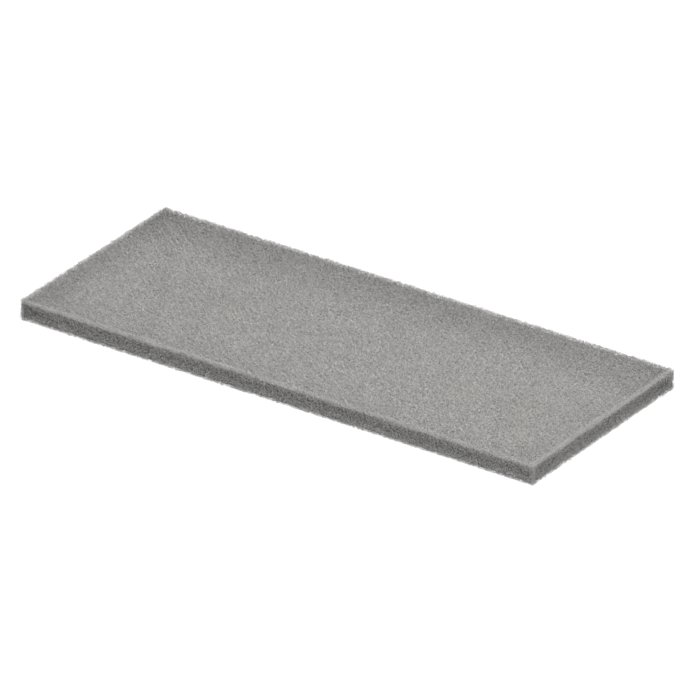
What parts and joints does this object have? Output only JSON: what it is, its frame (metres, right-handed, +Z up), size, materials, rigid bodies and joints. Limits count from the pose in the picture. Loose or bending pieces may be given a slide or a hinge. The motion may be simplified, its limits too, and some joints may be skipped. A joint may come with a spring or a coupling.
{
  "type": "foam air filter pad",
  "caption": "Flat rectangular pad of grey open-cell foam, cut on all sides, that lies in the air box of a small engine and catches dust from the intake air.",
  "frame": {"origin": "centre of the underside, where the pad lies on a flat surface", "axes": "+X along the length, +Y across the width, +Z up through the thickness"},
  "size_m": [0.2, 0.08, 0.007],
  "materials": {
    "foam": "matt open-cell polyurethane foam, mid grey"
  },
  "bodies": {
    "root": {"foam_pad": "foam"}
  },
  "joints": []
}
